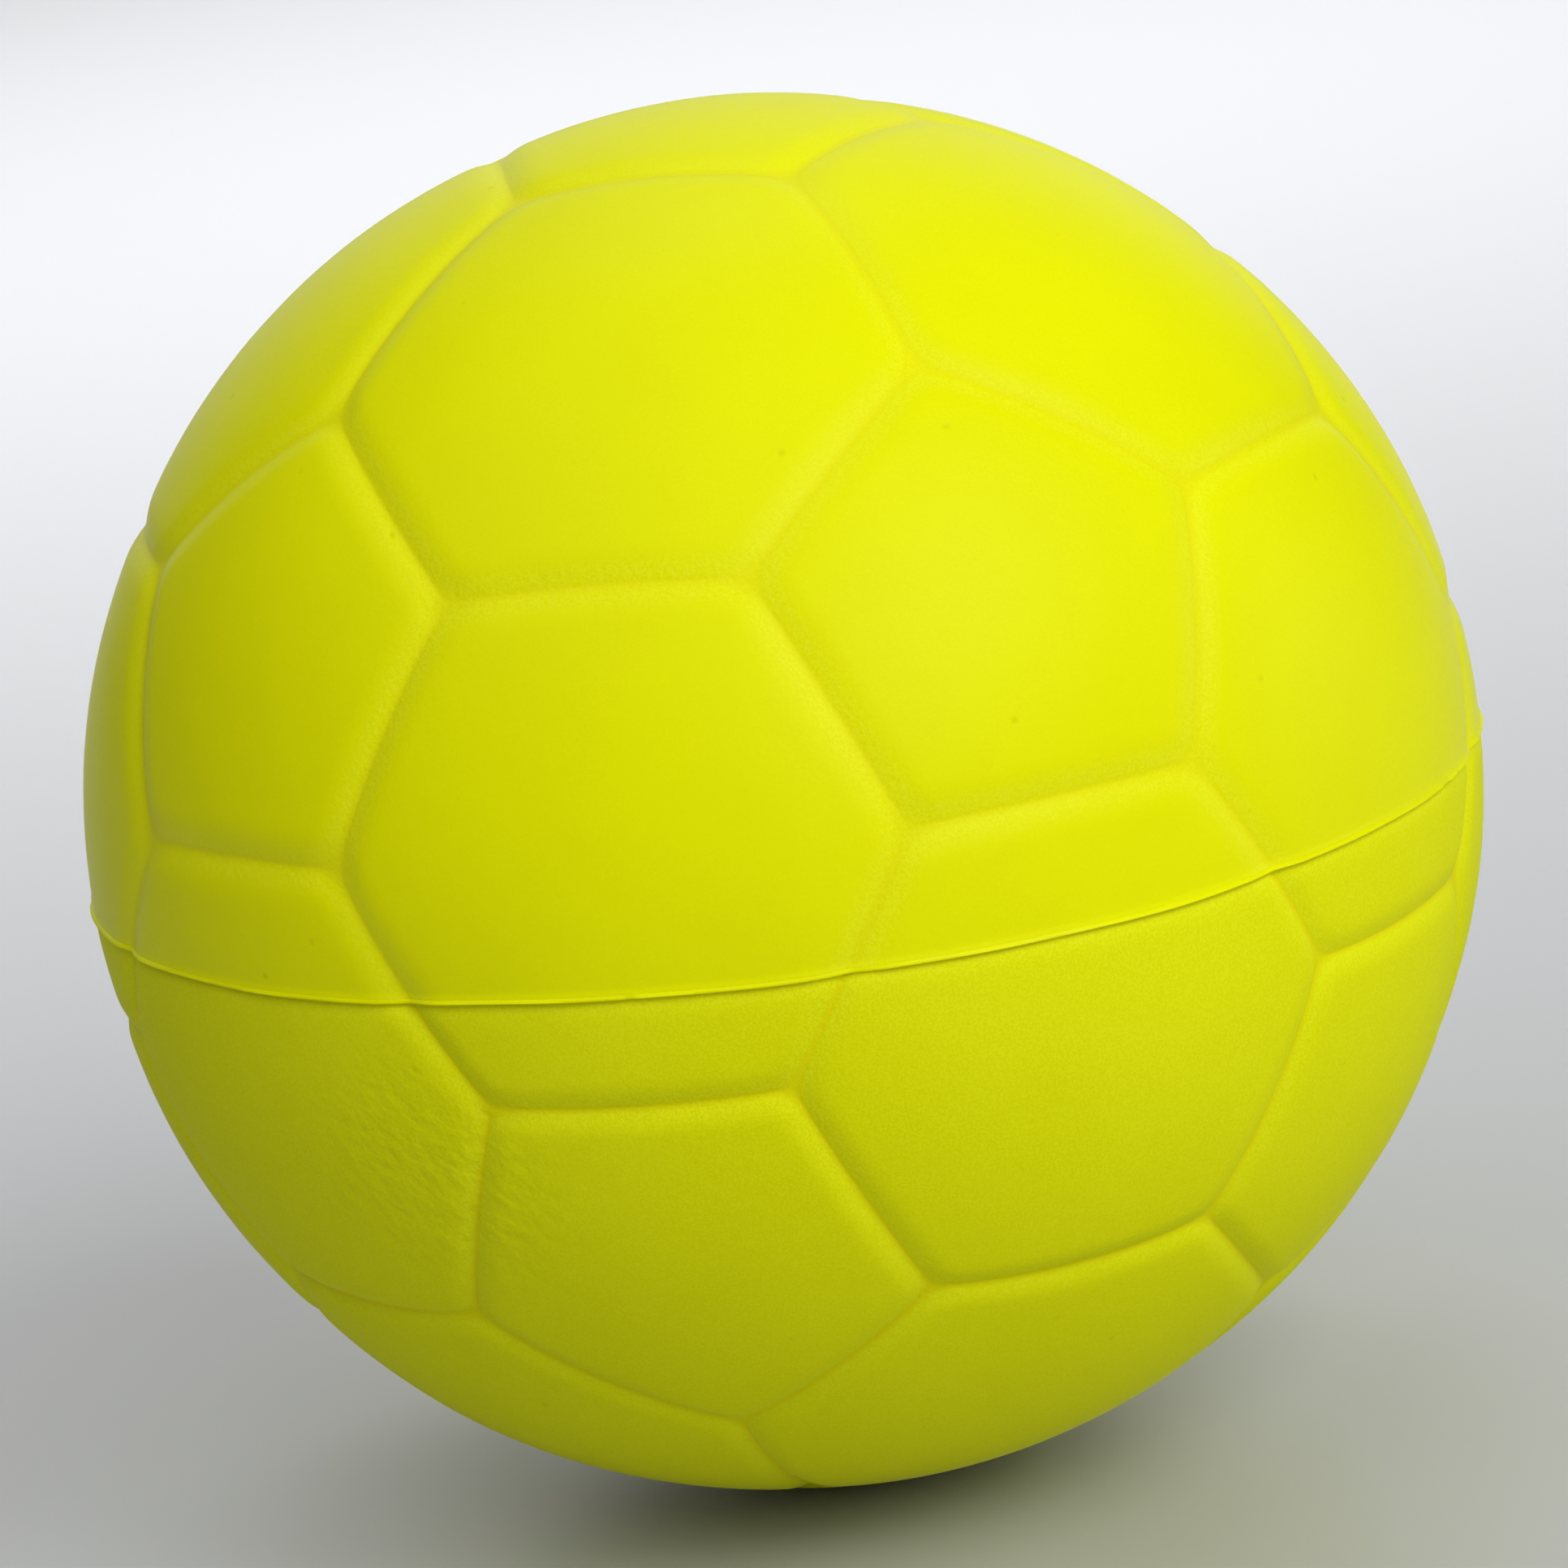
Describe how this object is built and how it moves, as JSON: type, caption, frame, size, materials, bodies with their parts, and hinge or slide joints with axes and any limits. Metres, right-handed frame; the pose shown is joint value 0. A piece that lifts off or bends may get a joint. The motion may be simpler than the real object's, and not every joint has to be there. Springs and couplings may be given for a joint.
{
  "type": "stress ball",
  "caption": "Palm-sized squeeze ball of skinned foam, moulded in two halves with the seam pattern of a stitched football and a thin flash line around the middle.",
  "frame": {"origin": "centre of the ball", "axes": "+Z along the mould axis, up through the middle of the top five-sided panel; -Y is the front, towards the middle of the upper side's front five-sided panel; the parting line lies in the plane z = 0"},
  "size_m": [0.0634, 0.0634, 0.063],
  "materials": {
    "skin_foam": "satin, fine grain",
    "core_foam": "matte, open cells"
  },
  "bodies": {
    "lower_half": {"skin_lower": "skin_foam", "foam_core": "core_foam", "parting_flash": "skin_foam"},
    "upper_half": {"skin_upper": "skin_foam"}
  },
  "joints": [
    {"name": "squeeze", "type": "slide", "parent": "lower_half", "child": "upper_half", "axis": [0, 0, -1], "range_m": [0, 0.02], "stiffness_N_per_m": 1800, "deforming": ["foam_core", "skin_lower", "parting_flash", "skin_upper"]}
  ]
}
